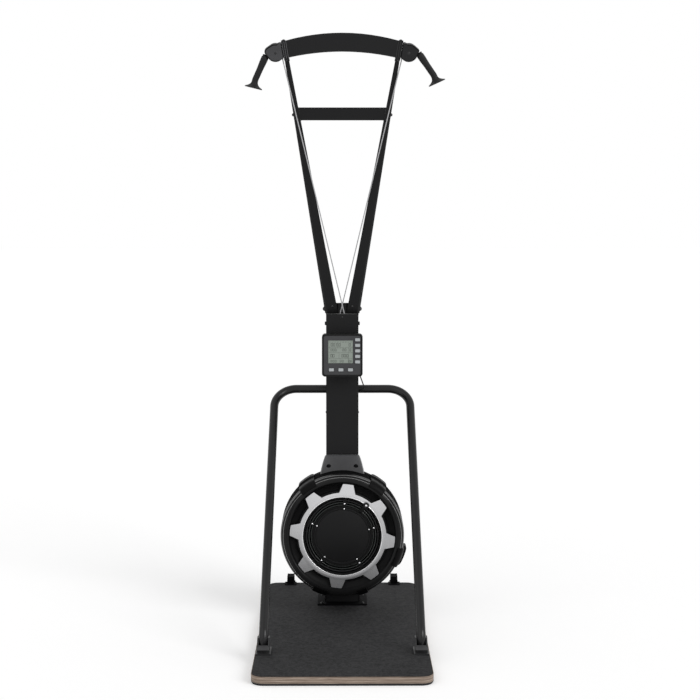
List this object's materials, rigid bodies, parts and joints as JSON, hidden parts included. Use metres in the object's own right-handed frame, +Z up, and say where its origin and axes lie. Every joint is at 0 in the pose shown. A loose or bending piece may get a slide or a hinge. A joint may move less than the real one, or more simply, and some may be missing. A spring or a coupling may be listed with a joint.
{
  "type": "ski trainer machine",
  "caption": "Standing ski trainer: platform with mast, flared arms, two cord handles, fan with toothed damper ring, support hoop and tilting monitor",
  "frame": {"origin": "centre of the bounding box in X and Y, on the floor under the platform", "axes": "+X is the machine's right as the picture shows it, +Y runs from the user's end to the mast and the transport wheels, +Z is up"},
  "size_m": [0.7249, 1.285, 2.184],
  "materials": {
    "black_powder_coat": "black powder coat, fine texture",
    "black_tube": "black satin paint",
    "black_plastic": "black moulded plastic",
    "dark_grey_plastic": "dark grey moulded plastic",
    "neck_grey": "satin grey paint",
    "silver_paint": "satin silver paint",
    "steel": "zinc plated",
    "aluminium": "as cast",
    "plywood": "bare plywood edge",
    "mat": "fine-grained anti-slip mat",
    "rubber": "matt",
    "cord": "braided light grey cord",
    "display": "grey-green display window",
    "button_grey": "light grey keys"
  },
  "bodies": {
    "frame": {"rubber_underlay": "rubber", "return_cord": "rubber", "sensor_cable": "rubber", "platform_board": "plywood", "platform_mat": "mat", "mast_channel": "black_powder_coat", "mast_back_cover": "black_powder_coat", "mast_foot_bracket": "black_powder_coat", "hoop_clamp": "black_powder_coat", "hoop_foot_bracket_left": "black_powder_coat", "hoop_foot_bracket_right": "black_powder_coat", "grille": "black_powder_coat", "arm_yoke": "black_powder_coat", "crossbar": "black_powder_coat", "header_plate": "black_powder_coat", "arm_left": "black_powder_coat", "arm_right": "black_powder_coat", "monitor_bracket": "black_powder_coat", "wheel_bracket_left": "black_powder_coat", "wheel_bracket_right": "black_powder_coat", "support_hoop": "black_tube", "fan_front_shell": "black_plastic", "fan_rear_shell": "black_plastic", "centre_disc": "black_plastic", "toothed_ring": "silver_paint", "bearing_front": "steel", "bearing_rear": "steel", "return_cord_pin": "steel", "neck_cover": "neck_grey", "pulley_housing_front_left": "dark_grey_plastic", "pulley_housing_front_right": "dark_grey_plastic", "pulley_housing_rear_left": "dark_grey_plastic", "pulley_housing_rear_right": "dark_grey_plastic", "drive_cord_left": "cord", "drive_cord_right": "cord", "cord_tail_left": "cord", "cord_tail_right": "cord"},
    "flywheel": {"fan_rotor": "aluminium"},
    "drum_left": {"cord_drum_left": "black_plastic"},
    "drum_right": {"cord_drum_right": "black_plastic"},
    "pulley_left": {"head_pulley_left": "black_plastic"},
    "pulley_right": {"head_pulley_right": "black_plastic"},
    "grip_left": {"handle_left": "rubber"},
    "grip_right": {"handle_right": "rubber"},
    "damper": {"damper_lever": "black_plastic"},
    "monitor": {"monitor_front_case": "black_plastic", "monitor_rear_case": "black_plastic", "screen_window": "display"},
    "wheel_left": {"transport_wheel_left": "rubber"},
    "wheel_right": {"transport_wheel_right": "rubber"},
    "key_side_1": {"button_side_1": "button_grey"},
    "key_side_2": {"button_side_2": "button_grey"},
    "key_side_3": {"button_side_3": "button_grey"},
    "key_side_4": {"button_side_4": "button_grey"},
    "key_side_5": {"button_side_5": "button_grey"},
    "key_foot_1": {"button_foot_1": "button_grey"},
    "key_foot_2": {"button_foot_2": "button_grey"},
    "key_foot_3": {"button_foot_3": "button_grey"}
  },
  "joints": [
    {"name": "flywheel_spin", "type": "hinge", "parent": "frame", "child": "flywheel", "pos_m": [0, 0.23, 0.331], "axis": [0, 1, 0], "continuous": true},
    {"name": "handle_left_pull", "type": "slide", "parent": "frame", "child": "grip_left", "axis": [-0.1002, -0.4208, -0.9016], "range_m": [0, 1.2], "stiffness_N_per_m": 12, "springref_m": -1.5, "deforming": ["cord_tail_left"]},
    {"name": "head_pulley_left_turn", "type": "hinge", "parent": "frame", "child": "pulley_left", "pos_m": [-0.24, 0.00211, 2.115], "axis": [0, 0.9607, 0.2775], "range_deg": [-3623.7, 5]},
    {"name": "drum_left_turn", "type": "hinge", "parent": "frame", "child": "drum_left", "pos_m": [0, 0.2875, 0.331], "axis": [0, 1, 0], "range_deg": [-2460.5, 5]},
    {"name": "handle_right_pull", "type": "slide", "parent": "frame", "child": "grip_right", "axis": [0.1002, -0.4208, -0.9016], "range_m": [0, 1.2], "stiffness_N_per_m": 12, "springref_m": -1.5, "deforming": ["cord_tail_right"]},
    {"name": "head_pulley_right_turn", "type": "hinge", "parent": "frame", "child": "pulley_right", "pos_m": [0.24, 0.00211, 2.115], "axis": [0, 0.9607, 0.2775], "range_deg": [-5, 3623.7]},
    {"name": "drum_right_turn", "type": "hinge", "parent": "frame", "child": "drum_right", "pos_m": [0, 0.3145, 0.331], "axis": [0, 1, 0], "range_deg": [-2460.5, 5]},
    {"name": "damper_turn", "type": "hinge", "parent": "frame", "child": "damper", "pos_m": [0, 0.0994, 0.331], "axis": [0, 1, 0], "range_deg": [-83.5, 6.5]},
    {"name": "monitor_tilt", "type": "hinge", "parent": "frame", "child": "monitor", "pos_m": [0, 0.238, 1.001], "axis": [1, 0, 0], "range_deg": [-20, 20], "deforming": ["sensor_cable"]},
    {"name": "button_side_1_press", "type": "slide", "parent": "monitor", "child": "key_side_1", "axis": [0, 1, 0], "range_m": [0, 0.0012], "stiffness_N_per_m": 400, "springref_m": -0.001},
    {"name": "button_side_2_press", "type": "slide", "parent": "monitor", "child": "key_side_2", "axis": [0, 1, 0], "range_m": [0, 0.0012], "stiffness_N_per_m": 400, "springref_m": -0.001},
    {"name": "button_side_3_press", "type": "slide", "parent": "monitor", "child": "key_side_3", "axis": [0, 1, 0], "range_m": [0, 0.0012], "stiffness_N_per_m": 400, "springref_m": -0.001},
    {"name": "button_side_4_press", "type": "slide", "parent": "monitor", "child": "key_side_4", "axis": [0, 1, 0], "range_m": [0, 0.0012], "stiffness_N_per_m": 400, "springref_m": -0.001},
    {"name": "button_side_5_press", "type": "slide", "parent": "monitor", "child": "key_side_5", "axis": [0, 1, 0], "range_m": [0, 0.0012], "stiffness_N_per_m": 400, "springref_m": -0.001},
    {"name": "button_foot_1_press", "type": "slide", "parent": "monitor", "child": "key_foot_1", "axis": [0, 1, 0], "range_m": [0, 0.0012], "stiffness_N_per_m": 400, "springref_m": -0.001},
    {"name": "button_foot_2_press", "type": "slide", "parent": "monitor", "child": "key_foot_2", "axis": [0, 1, 0], "range_m": [0, 0.0012], "stiffness_N_per_m": 400, "springref_m": -0.001},
    {"name": "button_foot_3_press", "type": "slide", "parent": "monitor", "child": "key_foot_3", "axis": [0, 1, 0], "range_m": [0, 0.0012], "stiffness_N_per_m": 400, "springref_m": -0.001},
    {"name": "wheel_left_roll", "type": "hinge", "parent": "frame", "child": "wheel_left", "pos_m": [-0.21, 0.6175, 0.028], "axis": [1, 0, 0], "continuous": true},
    {"name": "wheel_right_roll", "type": "hinge", "parent": "frame", "child": "wheel_right", "pos_m": [0.21, 0.6175, 0.028], "axis": [1, 0, 0], "continuous": true}
  ],
  "couplings": [
    {"joint": "head_pulley_left_turn", "follows": "handle_left_pull", "rad_per_m": -52.632},
    {"joint": "drum_left_turn", "follows": "handle_left_pull", "rad_per_m": -35.714},
    {"joint": "head_pulley_right_turn", "follows": "handle_right_pull", "rad_per_m": 52.632},
    {"joint": "drum_right_turn", "follows": "handle_right_pull", "rad_per_m": -35.714}
  ]
}
